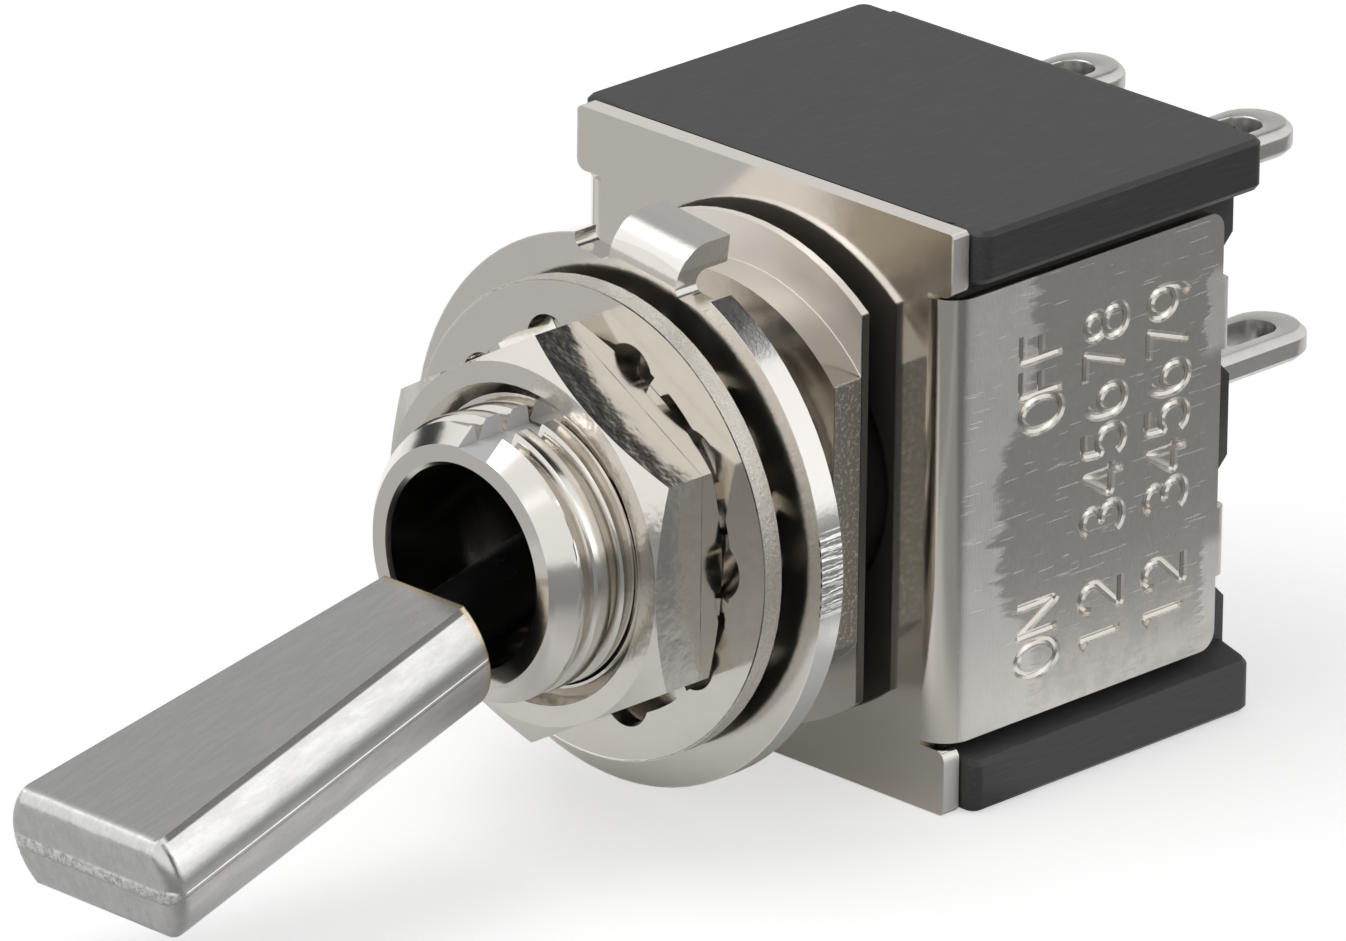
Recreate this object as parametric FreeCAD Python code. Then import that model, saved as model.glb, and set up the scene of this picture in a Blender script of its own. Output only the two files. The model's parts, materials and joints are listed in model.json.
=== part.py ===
import FreeCAD, Part
import math
import os
from FreeCAD import Vector

# Miniature two-pole panel toggle switch, on at the bottom and off at the top.
# Millimetres. The threaded bushing runs along Y: its mouth and the lever point to -Y,
# the solder lugs point to +Y, and the lever swings up and down in the YZ plane.
# The origin is on the bushing's axis, on the front face of the sheet frame.

# Sheet frame, one folded strip that wraps the front and the two sides of the case
plate_half_width = 5.39
plate_half_height = 6.35
plate_corner_chamfer = 0.08
sheet_thickness = 0.45
bend_outer_radius = 0.7
ear_height = 1.5
wall_short_of_case = 0.8
wall_corner_radius = 0.4
ear_relief = 0.1
ear_corner_radius = 0.25
tab_below_wall_end = 2.33
tab_width = 1.5
tab_reach = 1.15
tab_bend_radius = 0.3

# Moulded case, open towards the frame
case_gap = 0.05
case_rear = 8.9
flange_overhang = 0.38
flange_wall_gap = 0.15
flange_lip_slope = 0.25
case_wall_side = 0.9
case_wall_top = 1.25
case_floor = 1.5
case_long_edge_chamfer = 0.1
case_upright_edge_radius = 0.3
side_gap = 0.04
tab_pocket_play_low = 0.57
tab_pocket_play_high = 0.48
tab_pocket_chamfer = 0.3
rib_half_thickness = 0.35
rib_height = 2.1

# Die-cast bushing, staked into the frame
thread_radius = 3.0
bore_radius = 2.105
bushing_mouth = -8.63
mouth_chamfer = 0.45
mouth_inner_chamfer = 0.08
shoulder_radius = 4.5
shoulder_half_flats = 3.45
shoulder_thickness = 0.8
collar_radius = 5.47
collar_thickness = 0.2
boss_radius = 3.3
boss_height = 0.4
stake_radius = 3.5
stake_thickness = 0.4
spigot_gap = 0.05
keyway_width = 0.82
keyway_depth = 0.5
keyway_angle = 7.0

# Mounting hardware on the bushing
nut_across_flats = 7.7
nut_thickness = 1.9
nut_chamfer_angle = 30.0
nut_countersink = 0.35
washer_radius = 5.1
washer_thickness = 0.45
washer_teeth = 10
washer_rim_width = 0.75
washer_gap_width = 1.3
washer_tooth_width = 1.25
washer_tooth_blade = 0.35
washer_tooth_play = 0.01
washer_web = 0.25
washer_room = 0.84
hardware_bore_gap = 0.06
ring_radius = 5.87
ring_thickness = 0.6
ring_front = -4.17
ring_notch_depth = 0.62
ring_notch_width = 1.0
ring_notch_fillet = 0.2
ring_tab_width = 1.9
ring_tab_rise = 0.38
ring_tab_reach = 0.87
ring_tab_bend_radius = 0.85
ring_key_gap = 0.06

# Lever, one piece from the paddle to the tail, shown pressed down
lever_tilt = 13.5
pivot_y = -3.7
paddle_base = 5.85
paddle_tip = 15.65
paddle_half_thickness = 1.15
paddle_base_radius = 1.62
paddle_tip_half_flat = 1.97
paddle_tip_half_width = 2.48
paddle_tip_fillet = 0.4
neck_radius = 0.82
ball_gap = 0.06
tail_radius = 0.85
tail_stub_radius = 0.7
tail_stub_cover = 0.6
pin_radius = 0.4
pin_half_length = 2.3
pin_slot_gap = 0.05
pin_end_gap = 0.06

# Moulded actuator on the tail, with a sprung plunger for each pole
pole_share_of_cavity = 0.6
actuator_start = 5.2
actuator_to_rocker = 1.35
actuator_half_thickness = 1.1
actuator_side_clearance = 0.65
actuator_edge_radius = 0.3
plunger_radius = 0.65
plunger_gap = 0.05
plunger_bore_depth = 2.7
plunger_shank = 1.2
plunger_spigot_radius = 0.3
plunger_spigot_length = 0.5
plunger_nose_radius = 0.55
plunger_touch_gap = 0.14
spring_wire_radius = 0.09
spring_coil_radius = 0.48
spring_turns = 3.0

# Rocking contacts and fixed terminals
rocker_tilt = 8.0
rocker_arm_slope = 14.8
rocker_arm_past_contact = 0.4
rocker_half_width = 0.85
rocker_thickness = 0.4
rocker_above_floor = 1.55
fulcrum_bite = 0.12
fulcrum_gap = 0.03
contact_below_row = 1.8
contact_radius = 0.7
contact_gap = 0.08
moving_contact_length = 0.4
moving_contact_chamfer = 0.12
fixed_contact_chamfer = 0.12
rivet_radius = 0.3
row_below_case_top = 1.65
lug_width = 1.8
lug_thickness = 0.65
lug_edge_chamfer = 0.15
lug_length_upper = 4.1
lug_length_middle = 4.7
lug_hole_width = 0.95
lug_hole_length = 1.9
lug_hole_from_tip = 0.75
saddle_wall_clearance = 0.3
saddle_ear_gap = 0.05
saddle_ear_rise = 0.45
stop_pad_length = 0.9
stop_pad_gap = 0.06

# Places that follow from the sizes above
wall_half_height = plate_half_height - ear_height
tab_centre_height = wall_half_height - tab_below_wall_end
tab_pocket_low = tab_centre_height - tab_width / 2 - tab_pocket_play_low
tab_pocket_high = tab_centre_height + tab_width / 2 + tab_pocket_play_high
case_front = sheet_thickness + case_gap
wall_inner = plate_half_width - sheet_thickness
core_half_width = wall_inner - side_gap
flange_half_width = plate_half_width + flange_overhang
flange_root_height = wall_half_height + flange_wall_gap
flange_lip_height = flange_root_height + flange_lip_slope
row_spacing = plate_half_height - row_below_case_top
contact_height = row_spacing - contact_below_row
rocker_half_length = contact_height + rocker_arm_past_contact
ring_notch_floor = ring_radius - ring_notch_depth
ring_tab_top = ring_radius + ring_tab_rise
floor_inside = case_rear - case_floor
wall_rear = case_rear - wall_short_of_case
rocker_seat = floor_inside - rocker_above_floor
actuator_end = rocker_seat - pivot_y - actuator_to_rocker
lug_tip_upper = case_rear + lug_length_upper
lug_tip_middle = case_rear + lug_length_middle
cavity_half_width = core_half_width - case_wall_side
cavity_half_height = plate_half_height - case_wall_top
ledge_y = wall_rear - 0.1
shoulder_rear = -boss_height
collar_front = shoulder_rear - collar_thickness
shoulder_front = collar_front - shoulder_thickness
hardware_bore = thread_radius + hardware_bore_gap
ring_rear = ring_front + ring_thickness
ring_tab_rear = ring_rear + ring_tab_reach
nut_rear = ring_front - washer_room
nut_front = nut_rear - nut_thickness
washer_rear = nut_rear + washer_thickness
washer_gap_radius = washer_radius - washer_rim_width
ball_radius = bore_radius - ball_gap
plunger_tip = rocker_seat - pivot_y - plunger_touch_gap
fulcrum_radius = lug_thickness / 2
rocker_underside = rocker_seat + rocker_thickness / math.cos(math.radians(rocker_arm_slope))
fulcrum_y = rocker_underside - fulcrum_bite + fulcrum_radius
pole_x = pole_share_of_cavity * cavity_half_width
actuator_half_width = cavity_half_width - actuator_side_clearance
foot_front = floor_inside - lug_thickness

X = Vector(1, 0, 0)
Y = Vector(0, 1, 0)
Z = Vector(0, 0, 1)
ORIGIN = Vector(0, 0, 0)


def box(x0, x1, y0, y1, z0, z1):
    return Part.makeBox(x1 - x0, y1 - y0, z1 - z0, Vector(x0, y0, z0))


def rod(radius, y0, y1, x=0.0, z=0.0):
    """Cylinder along Y."""
    return Part.makeCylinder(radius, y1 - y0, Vector(x, y0, z), Y)


def ring_of(outer, inner, y0, y1):
    return rod(outer, y0, y1).cut(rod(inner, y0 - 1, y1 + 1))


def turned(outline):
    """Solid turned about Y from (radius, y) points."""
    points = [Vector(r, y, 0) for r, y in outline]
    points.append(points[0])
    return Part.Face(Part.makePolygon(points)).revolve(ORIGIN, Y, 360)


def prism_x(outline, x0, x1):
    """Solid along X from (y, z) points."""
    points = [Vector(x0, y, z) for y, z in outline]
    points.append(points[0])
    return Part.Face(Part.makePolygon(points)).extrude(Vector(x1 - x0, 0, 0))


def prism_y(outline, y0, y1):
    """Solid along Y from (x, z) points."""
    points = [Vector(x, y0, z) for x, z in outline]
    points.append(points[0])
    return Part.Face(Part.makePolygon(points)).extrude(Vector(0, y1 - y0, 0))


def hexagon(across_flats, y0, y1):
    """Hexagonal prism along Y with its flats facing -X and +X."""
    corner = across_flats / math.sqrt(3)
    angles = [math.radians(30 + 60 * i) for i in range(6)]
    return prism_y([(corner * math.cos(a), corner * math.sin(a)) for a in angles], y0, y1)


def turn(shape, degrees, centre=ORIGIN, axis=Y):
    copy = shape.copy()
    copy.rotate(centre, axis, degrees)
    return copy


def move(shape, x=0.0, y=0.0, z=0.0):
    copy = shape.copy()
    copy.translate(Vector(x, y, z))
    return copy


def flip_x(shape):
    return shape.mirror(ORIGIN, X)


def flip_z(shape):
    return shape.mirror(ORIGIN, Z)


def edges_along(shape, axis, test):
    """Straight edges parallel to an axis whose middle passes a test."""
    found = []
    for edge in shape.Edges:
        if not isinstance(edge.Curve, Part.Line):
            continue
        a = edge.Vertexes[0].Point
        b = edge.Vertexes[-1].Point
        if (b - a).cross(axis).Length < 1e-6 and test((a + b) * 0.5):
            found.append(edge)
    return found


def make_frame():
    """Nickel-plated sheet: front plate with four ears, two side walls, four crimped tabs."""
    ear_start = wall_half_height + ear_relief
    outer = plate_half_width
    plate = box(-outer, outer, 0, sheet_thickness, -plate_half_height, plate_half_height)
    ears = edges_along(plate, Y, lambda p: abs(p.x) > outer - 0.01)
    plate = plate.makeChamfer(plate_corner_chamfer, ears)
    sides = box(-outer, outer, 0, wall_rear, -wall_half_height, wall_half_height)
    corners = edges_along(sides, Z, lambda p: p.y < 0.01)
    sides = sides.makeFillet(bend_outer_radius, corners)
    inside = box(-wall_inner, wall_inner, sheet_thickness, wall_rear + 1, -9, 9)
    bends = edges_along(inside, Z, lambda p: p.y < sheet_thickness + 0.01)
    inside = inside.makeFillet(bend_outer_radius - sheet_thickness, bends)
    sides = sides.cut(inside)
    rear_corners = edges_along(sides, X, lambda p: p.y > wall_rear - 0.01)
    sides = sides.makeFillet(wall_corner_radius, rear_corners)

    ends = box(-9, 9, -1, sheet_thickness + 1, ear_start, 9)
    middle = box(-9, 9, -1, sheet_thickness + 1, -ear_start, ear_start)
    core = box(-outer + bend_outer_radius, outer - bend_outer_radius, 0, sheet_thickness,
               -plate_half_height, plate_half_height)
    ear_blocks = plate.common(ends.fuse(flip_z(ends)))
    round_ears = edges_along(ear_blocks, Y, lambda p: abs(p.x) > outer - 0.01 and abs(p.z) < ear_start + 0.01)
    ear_blocks = ear_blocks.makeFillet(ear_corner_radius, round_ears)
    sheet = core.common(middle).fuse([ear_blocks, sides])

    for height in (tab_centre_height, -tab_centre_height):
        for side in (1, -1):
            sheet = sheet.fuse(make_tab(height, side))
    hole = rod(thread_radius + spigot_gap, -1, sheet_thickness + 1)
    return sheet.cut(hole).removeSplitter()


def make_tab(height, side):
    """Tab at the wall's rear edge, folded in over the case's ledge."""
    low = height - tab_width / 2
    high = height + tab_width / 2
    outer = plate_half_width
    rear = ledge_y + sheet_thickness
    root = box(outer - sheet_thickness, outer, ledge_y - 0.3, rear, low, high)
    fold = box(outer - tab_reach, outer, ledge_y, rear, low, high)
    tab = root.fuse(fold).removeSplitter()
    corner = edges_along(tab, Z, lambda p: p.y > rear - 0.01 and p.x > outer - 0.01)
    tab = tab.makeFillet(tab_bend_radius, corner)
    return tab if side > 0 else flip_x(tab)


def make_case():
    """Black moulded case: two flanges, a core between the sheet walls, a blind cavity."""
    half = core_half_width
    core = box(-half, half, case_front, case_rear, -plate_half_height, plate_half_height)
    front_uprights = edges_along(core, Z, lambda p: p.y < case_front + 0.01)
    core = core.makeFillet(bend_outer_radius - sheet_thickness, front_uprights)
    section = [
        (-flange_half_width, plate_half_height),
        (flange_half_width, plate_half_height),
        (flange_half_width, flange_lip_height),
        (half, flange_root_height),
        (-half, flange_root_height),
        (-flange_half_width, flange_lip_height),
    ]
    flange = prism_y(section, case_front, case_rear)
    uprights = edges_along(flange, Z, lambda p: abs(p.x) > flange_half_width - 0.01)
    flange = flange.makeFillet(case_upright_edge_radius, uprights)
    rims = edges_along(flange, Y, lambda p: abs(p.x) > flange_half_width - 0.01)
    flange = flange.makeChamfer(case_long_edge_chamfer, rims)
    case = core.fuse([flange, flip_z(flange)]).removeSplitter()
    case = case.cut(box(-cavity_half_width, cavity_half_width, case_front - 1, floor_inside,
                        -cavity_half_height, cavity_half_height))
    case = case.fuse(box(-rib_half_thickness, rib_half_thickness, floor_inside - rib_height,
                         floor_inside, -cavity_half_height, cavity_half_height))
    for side in (1, -1):
        case = case.fuse(make_stop_pad(side * pole_x))
        for sign in (1, -1):
            case = case.cut(make_tab_pocket(side, sign))
        for height in (row_spacing, 0):
            shank = box(side * pole_x - lug_width / 2, side * pole_x + lug_width / 2,
                        floor_inside - 0.01, case_rear + 1,
                        height - lug_thickness / 2, height + lug_thickness / 2)
            case = case.cut(shank)
    return case.removeSplitter()


def make_tab_pocket(side, sign):
    """Step in the case's rear corner that a sheet tab folds into."""
    depth = tab_reach + 0.1
    outer = core_half_width + 1
    inner = plate_half_width - depth
    outline = [
        (ledge_y, tab_pocket_low),
        (ledge_y, tab_pocket_high),
        (case_rear - tab_pocket_chamfer, tab_pocket_high),
        (case_rear, tab_pocket_high + tab_pocket_chamfer),
        (case_rear + 1, tab_pocket_high + tab_pocket_chamfer),
        (case_rear + 1, tab_pocket_low - tab_pocket_chamfer),
        (case_rear, tab_pocket_low - tab_pocket_chamfer),
        (case_rear - tab_pocket_chamfer, tab_pocket_low),
    ]
    pocket = prism_x(outline, inner, outer)
    if sign < 0:
        pocket = flip_z(pocket)
    return pocket if side > 0 else flip_x(pocket)


def make_stop_pad(x):
    """Moulded pad that the rocker's lower arm rests on when the switch is off."""
    arm = math.radians(rocker_arm_slope)
    tilt = math.radians(rocker_tilt)
    near = contact_height - stop_pad_length / 2
    drop = rocker_underside - near * math.tan(arm) - fulcrum_y
    touch = fulcrum_y + drop * math.cos(tilt) + near * math.sin(tilt)
    top = touch + stop_pad_gap
    return box(x - rocker_half_width, x + rocker_half_width, top, floor_inside,
               -contact_height - stop_pad_length / 2, -near)


def make_bushing():
    """Die-cast bushing: barrel with a keyway, flatted shoulder with a thin collar, staked spigot."""
    spigot_rear = sheet_thickness + stake_thickness
    body = turned([
        (bore_radius + mouth_inner_chamfer, bushing_mouth),
        (thread_radius - mouth_chamfer, bushing_mouth),
        (thread_radius, bushing_mouth + mouth_chamfer),
        (thread_radius, shoulder_front),
        (shoulder_radius, shoulder_front),
        (shoulder_radius, collar_front),
        (collar_radius, collar_front),
        (collar_radius, shoulder_rear),
        (boss_radius, shoulder_rear),
        (boss_radius, 0),
        (thread_radius, 0),
        (thread_radius, sheet_thickness),
        (stake_radius, sheet_thickness),
        (stake_radius - stake_thickness * 0.5, spigot_rear),
        (bore_radius, spigot_rear),
        (bore_radius, bushing_mouth + mouth_inner_chamfer),
    ])
    wide = 2 * collar_radius
    flat = box(shoulder_half_flats, wide, shoulder_front - 0.01, shoulder_rear + 0.01, -wide, wide)
    body = body.cut(flat.fuse(flip_x(flat)))
    keyway = box(-keyway_width / 2, keyway_width / 2, bushing_mouth - 1, shoulder_front,
                 thread_radius - keyway_depth, thread_radius + 1)
    body = body.cut(turn(keyway, keyway_angle))
    slot_half = pin_radius + pin_slot_gap
    reach = pin_half_length + pin_end_gap
    slot = box(-reach, reach, pivot_y, spigot_rear + 1, -slot_half, slot_half)
    slot = slot.fuse(Part.makeCylinder(slot_half, 2 * reach, Vector(-reach, pivot_y, 0), X))
    return body.cut(slot).removeSplitter()


def make_nut():
    """Hexagon nut with both faces chamfered, its bore sized to the thread's crest."""
    flat = nut_across_flats / 2
    corner = nut_across_flats / math.sqrt(3) + 0.1
    drop = (corner - flat) * math.tan(math.radians(nut_chamfer_angle))
    nut = hexagon(nut_across_flats, nut_front, nut_rear)
    lens = turned([
        (0, nut_front),
        (flat, nut_front),
        (corner, nut_front + drop),
        (corner, nut_rear - drop),
        (flat, nut_rear),
        (0, nut_rear),
    ])
    nut = nut.common(lens)
    wide = hardware_bore + nut_countersink
    bore = turned([
        (0, nut_front - 0.01),
        (wide, nut_front - 0.01),
        (hardware_bore, nut_front + nut_countersink),
        (hardware_bore, nut_rear - nut_countersink),
        (wide, nut_rear + 0.01),
        (0, nut_rear + 0.01),
    ])
    return nut.cut(bore)


def make_lock_washer():
    """Spring-steel washer with twisted internal teeth."""
    disc = ring_of(washer_radius, washer_gap_radius - washer_web, nut_rear, washer_rear)
    step = 360.0 / washer_teeth
    for index in range(washer_teeth):
        gap = rod(washer_gap_width / 2, nut_rear - 1, washer_rear + 1, 0,
                  washer_gap_radius - washer_gap_width / 2)
        disc = disc.cut(turn(gap, step * (index + 0.5)))
    teeth = [turn(make_washer_tooth(), step * index) for index in range(washer_teeth)]
    keep = ring_of(washer_radius, hardware_bore, nut_rear, ring_front)
    return disc.fuse(teeth).common(keep).removeSplitter()


def make_washer_tooth():
    """One twisted blade, from the nut's face on one side to the ring's face on the other."""
    half = washer_tooth_width / 2
    front = nut_rear + washer_tooth_play
    rear = ring_front - washer_tooth_play
    blade = [
        Vector(-half, front, 0),
        Vector(washer_tooth_blade - half, front, 0),
        Vector(half, rear, 0),
        Vector(half - washer_tooth_blade, rear, 0),
        Vector(-half, front, 0),
    ]
    return Part.Face(Part.makePolygon(blade)).extrude(Vector(0, 0, washer_gap_radius))


def make_locating_ring():
    """Locating ring with a key in the bushing's keyway and a tab curled to the rear."""
    plain = ring_of(ring_radius, hardware_bore, ring_front, ring_rear)
    half_tab = ring_tab_width / 2
    outer_notch = half_tab + ring_notch_width
    notch = box(half_tab, outer_notch, ring_front - 1, ring_rear + 1, ring_notch_floor, ring_radius + 1)
    notch_floor = edges_along(notch, Y, lambda p: p.z < ring_notch_floor + 0.01)
    notch = notch.makeFillet(ring_notch_fillet, notch_floor)
    plain = plain.cut(notch.fuse(flip_x(notch)))
    plain = plain.cut(box(-half_tab, half_tab, ring_front - 1, ring_rear + 1,
                          ring_notch_floor + ring_notch_fillet, ring_radius + 1))
    tab = prism_x([
        (ring_front, ring_notch_floor),
        (ring_front, ring_tab_top),
        (ring_tab_rear, ring_tab_top),
        (ring_tab_rear, ring_tab_top - ring_thickness),
        (ring_rear, ring_tab_top - ring_thickness),
        (ring_rear, ring_notch_floor),
    ], -half_tab, half_tab)
    outside = edges_along(tab, X, lambda p: p.y < ring_front + 0.01 and p.z > ring_tab_top - 0.01)
    tab = tab.makeFillet(ring_tab_bend_radius, outside)
    inside = edges_along(tab, X, lambda p: abs(p.y - ring_rear) < 0.01 and p.z > ring_notch_floor + 0.01)
    tab = tab.makeFillet(ring_tab_bend_radius - ring_thickness, inside)
    key_half = keyway_width / 2 - ring_key_gap
    key = box(-key_half, key_half, ring_front, ring_rear,
              thread_radius - keyway_depth + ring_key_gap, hardware_bore + 0.2)
    return turn(plain.fuse([tab, key]).removeSplitter(), keyway_angle)


def paddle_section(along, half_flat, half_width):
    """Flat top and bottom joined by two bowed sides, across the lever."""
    y = pivot_y - along
    t = paddle_half_thickness
    top = Part.makeLine(Vector(-half_flat, y, t), Vector(half_flat, y, t))
    right = Part.Arc(Vector(half_flat, y, t), Vector(half_width, y, 0), Vector(half_flat, y, -t)).toShape()
    bottom = Part.makeLine(Vector(half_flat, y, -t), Vector(-half_flat, y, -t))
    left = Part.Arc(Vector(-half_flat, y, -t), Vector(-half_width, y, 0), Vector(-half_flat, y, t)).toShape()
    return Part.Wire([top, right, bottom, left])


def tilted(shape):
    """Turn a piece of the lever from straight out to the pressed-down place."""
    return turn(shape, lever_tilt, Vector(0, pivot_y, 0), X)


def along_tail(shape, near):
    """Move a piece modelled from y = 0 so that it starts a given distance behind the pivot."""
    return move(shape, 0, pivot_y + near, 0)


def make_lever():
    """Lever: flatted paddle, neck, pivot ball and tail in one piece."""
    base_half_flat = math.sqrt(paddle_base_radius ** 2 - paddle_half_thickness ** 2)
    base = paddle_section(paddle_base, base_half_flat, paddle_base_radius)
    tip = paddle_section(paddle_tip, paddle_tip_half_flat, paddle_tip_half_width)
    paddle = Part.makeLoft([base, tip], True, True)
    tip_y = pivot_y - paddle_tip
    rim = [e for e in paddle.Edges if all(abs(v.Point.y - tip_y) < 0.01 for v in e.Vertexes)]
    paddle = paddle.makeFillet(paddle_tip_fillet, rim)
    neck = rod(neck_radius, pivot_y - paddle_base - 0.2, pivot_y)
    ball = Part.makeSphere(ball_radius, Vector(0, pivot_y, 0))
    tail = rod(tail_radius, pivot_y, pivot_y + actuator_start)
    stub = rod(tail_stub_radius, pivot_y, pivot_y + actuator_end - tail_stub_cover)
    lever = paddle.fuse([neck, ball, tail, stub])
    pin_hole = Part.makeCylinder(pin_radius, 2 * bore_radius, Vector(-bore_radius, pivot_y, 0), X)
    return tilted(lever.cut(pin_hole).removeSplitter())


def make_pivot_pin():
    """Cross pin pressed through the ball, its ends riding in the bushing's slots."""
    return Part.makeCylinder(pin_radius, 2 * pin_half_length, Vector(-pin_half_length, pivot_y, 0), X)


def make_actuator():
    """Moulded cross bar pressed on the tail, with one blind bore for each plunger."""
    bar = box(-actuator_half_width, actuator_half_width, 0, actuator_end - actuator_start,
              -actuator_half_thickness, actuator_half_thickness)
    uprights = edges_along(bar, Z, lambda p: True)
    bar = bar.makeFillet(actuator_edge_radius, uprights)
    bar = along_tail(bar, actuator_start)
    end = pivot_y + actuator_end
    bar = bar.cut(rod(tail_stub_radius, pivot_y + actuator_start - 1, end - tail_stub_cover))
    for side in (1, -1):
        bar = bar.cut(rod(plunger_radius + plunger_gap, end - plunger_bore_depth, end + 1, side * pole_x))
    return tilted(bar)


def make_plunger(side):
    """Round-nosed plunger with a spigot that centres its spring."""
    rear = pivot_y + actuator_end - plunger_shank
    tip = pivot_y + plunger_tip
    nose_centre = tip - plunger_nose_radius
    body = rod(plunger_radius, rear, nose_centre)
    ball = Part.makeSphere(plunger_nose_radius, Vector(0, nose_centre, 0))
    spigot = rod(plunger_spigot_radius, rear - plunger_spigot_length, rear)
    plunger = body.fuse([ball, spigot]).removeSplitter()
    return tilted(move(plunger, side * pole_x))


def make_spring(side):
    """Helical spring of square wire between the bore's end and the plunger."""
    start = pivot_y + actuator_end - plunger_bore_depth + spring_wire_radius
    end = pivot_y + actuator_end - plunger_shank - spring_wire_radius
    pitch = (end - start) / spring_turns
    helix = Part.makeHelix(pitch, end - start, spring_coil_radius)
    inner = spring_coil_radius - spring_wire_radius
    outer = spring_coil_radius + spring_wire_radius
    corners = [
        Vector(inner, 0, -spring_wire_radius),
        Vector(outer, 0, -spring_wire_radius),
        Vector(outer, 0, spring_wire_radius),
        Vector(inner, 0, spring_wire_radius),
        Vector(inner, 0, -spring_wire_radius),
    ]
    coil = Part.Wire(helix.Edges).makePipeShell([Part.makePolygon(corners)], True, True)
    coil.rotate(ORIGIN, X, -90)
    return tilted(move(coil, side * pole_x, start, 0))


def rocked(shape):
    """Turn a piece of the rocker from level to the closed place."""
    return turn(shape, -rocker_tilt, Vector(0, fulcrum_y, 0), X)


def make_rocker(side):
    """Rocking contact: a shallow trough of copper strip that rocks on its fulcrum."""
    slope = math.tan(math.radians(rocker_arm_slope))
    tip = rocker_half_length
    strip = prism_x([
        (rocker_seat - tip * slope, -tip),
        (rocker_seat, 0),
        (rocker_seat - tip * slope, tip),
        (rocker_underside - tip * slope, tip),
        (rocker_underside, 0),
        (rocker_underside - tip * slope, -tip),
    ], -rocker_half_width, rocker_half_width)
    groove = Part.makeCylinder(fulcrum_radius + fulcrum_gap, 4 * rocker_half_width,
                               Vector(-2 * rocker_half_width, fulcrum_y, 0), X)
    strip = strip.cut(groove)
    strip = strip.cut(moving_rivet(rivet_radius))
    return move(rocked(strip), side * pole_x)


def moving_rivet(radius):
    """Rivet shank square to the rocker's upper arm."""
    top = Vector(0, rocker_seat - contact_height * math.tan(math.radians(rocker_arm_slope)), contact_height)
    shank = rod(radius, 0, rocker_thickness)
    shank = turn(shank, rocker_arm_slope, ORIGIN, X)
    return move(shank, 0, top.y, top.z)


def make_rocker_contact(side):
    """Silver contact riveted under the rocker's upper arm."""
    top = Vector(0, rocker_seat - contact_height * math.tan(math.radians(rocker_arm_slope)), contact_height)
    head = rod(contact_radius, rocker_thickness, rocker_thickness + moving_contact_length)
    shank = rod(rivet_radius, 0, rocker_thickness)
    contact = head.fuse(shank).removeSplitter()
    rim = [e for e in contact.Edges if isinstance(e.Curve, Part.Circle)
           and e.Vertexes[0].Point.y > rocker_thickness + moving_contact_length - 0.01]
    contact = contact.makeChamfer(moving_contact_chamfer, rim)
    contact = turn(contact, rocker_arm_slope, ORIGIN, X)
    return move(rocked(move(contact, 0, top.y, top.z)), side * pole_x)


def moving_contact_face():
    """Rearmost y that the closed moving contact reaches, and the height of its centre."""
    slope = math.radians(rocker_arm_slope)
    tilt = math.radians(rocker_tilt)
    reach = rocker_thickness + moving_contact_length
    y = rocker_seat - contact_height * math.tan(slope) + reach * math.cos(slope) - fulcrum_y
    z = contact_height + reach * math.sin(slope)
    centre_y = fulcrum_y + y * math.cos(tilt) + z * math.sin(tilt)
    centre_z = z * math.cos(tilt) - y * math.sin(tilt)
    lean = abs(slope - tilt)
    return centre_y + contact_radius * math.sin(lean), centre_z


def lug_blank(height, tip):
    """Rounded solder lug with its oblong eyelet, along Y."""
    half = lug_width / 2
    low = height - lug_thickness / 2
    high = height + lug_thickness / 2
    lug = box(-half, half, case_rear, tip - half, low, high)
    lug = lug.fuse(Part.makeCylinder(half, lug_thickness, Vector(0, tip - half, low), Z)).removeSplitter()
    hole_half = lug_hole_width / 2
    hole_rear = tip - lug_hole_from_tip - hole_half
    hole_front = hole_rear - lug_hole_length + lug_hole_width
    hole = box(-hole_half, hole_half, hole_front, hole_rear, low - 1, high + 1)
    for y in (hole_front, hole_rear):
        hole = hole.fuse(Part.makeCylinder(hole_half, lug_thickness + 2, Vector(0, y, low - 1), Z))
    return lug.cut(hole.removeSplitter())


def rounded_lug(lug):
    """Coined edges round the part of a lug outside the case."""
    outside = []
    for edge in lug.Edges:
        extent = edge.BoundBox
        flat = extent.ZLength < 1e-6
        long = extent.YLength > 0.1
        rim = max(abs(extent.XMin), abs(extent.XMax)) > lug_width / 2 - 0.01
        if flat and long and rim:
            outside.append(edge)
    return lug.makeChamfer(lug_edge_chamfer, outside)


def make_upper_terminal(side):
    """Fixed terminal: solder lug, shank through the floor, foot along the floor."""
    half = lug_width / 2
    outside = rounded_lug(lug_blank(row_spacing, lug_tip_upper))
    top = row_spacing + lug_thickness / 2
    shank = box(-half, half, foot_front, case_rear, row_spacing - lug_thickness / 2, top)
    contact_z = moving_contact_face()[1]
    foot = box(-half, half, foot_front, floor_inside, contact_z - contact_radius - 0.2, top)
    rivet = rod(rivet_radius, foot_front - 1, floor_inside + 1, 0, contact_z)
    terminal = outside.fuse([shank, foot]).removeSplitter().cut(rivet)
    return move(terminal, side * pole_x)


def make_fixed_contact(side):
    """Silver contact riveted to the foot of a fixed terminal."""
    face_y, face_z = moving_contact_face()
    head = rod(contact_radius, face_y + contact_gap, foot_front, 0, face_z)
    rim = [e for e in head.Edges if isinstance(e.Curve, Part.Circle)
           and e.Vertexes[0].Point.y < face_y + contact_gap + 0.01]
    head = head.makeChamfer(fixed_contact_chamfer, rim)
    shank = rod(rivet_radius, foot_front - 0.1, floor_inside, 0, face_z)
    return move(head.fuse(shank).removeSplitter(), side * pole_x)


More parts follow.
